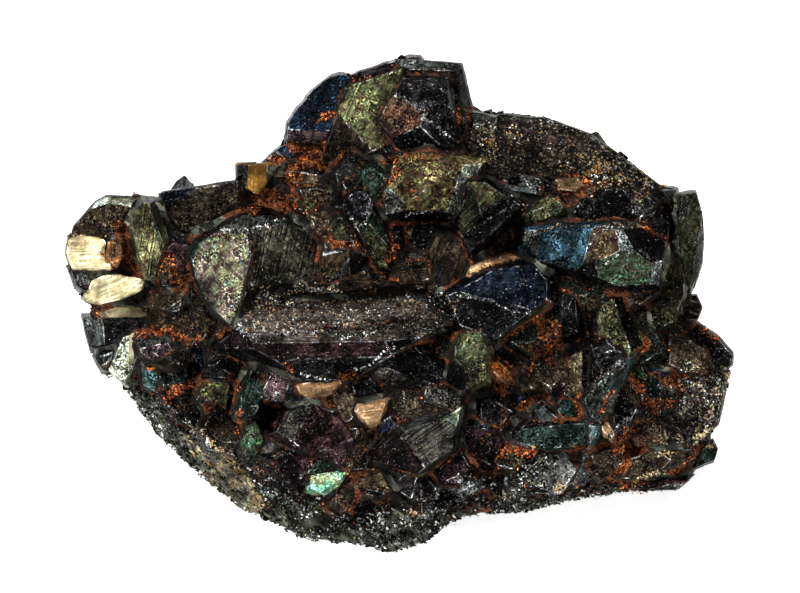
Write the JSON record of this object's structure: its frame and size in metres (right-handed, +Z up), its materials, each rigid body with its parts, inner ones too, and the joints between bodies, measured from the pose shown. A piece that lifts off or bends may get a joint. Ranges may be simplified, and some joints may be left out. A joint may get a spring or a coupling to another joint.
{
  "type": "specularite specimen",
  "caption": "Hand-sized mineral specimen: lens-shaped dark hematite crystals with iridescent tarnish grown over a broken ore matrix, with a flat cut foot.",
  "frame": {"origin": "middle of the footprint's bounding box, on the plane the specimen rests on", "axes": "+X to the viewer's right along the specimen's length, +Y away from the viewer, +Z up; the crystal face looks towards -Y and 40 degrees up"},
  "size_m": [0.1358, 0.0865, 0.0762],
  "materials": {
    "crystals": "dark metallic lustre with iridescent tarnish and rust in the crevices"
  },
  "bodies": {
    "root": {"specimen": "crystals"}
  },
  "joints": []
}
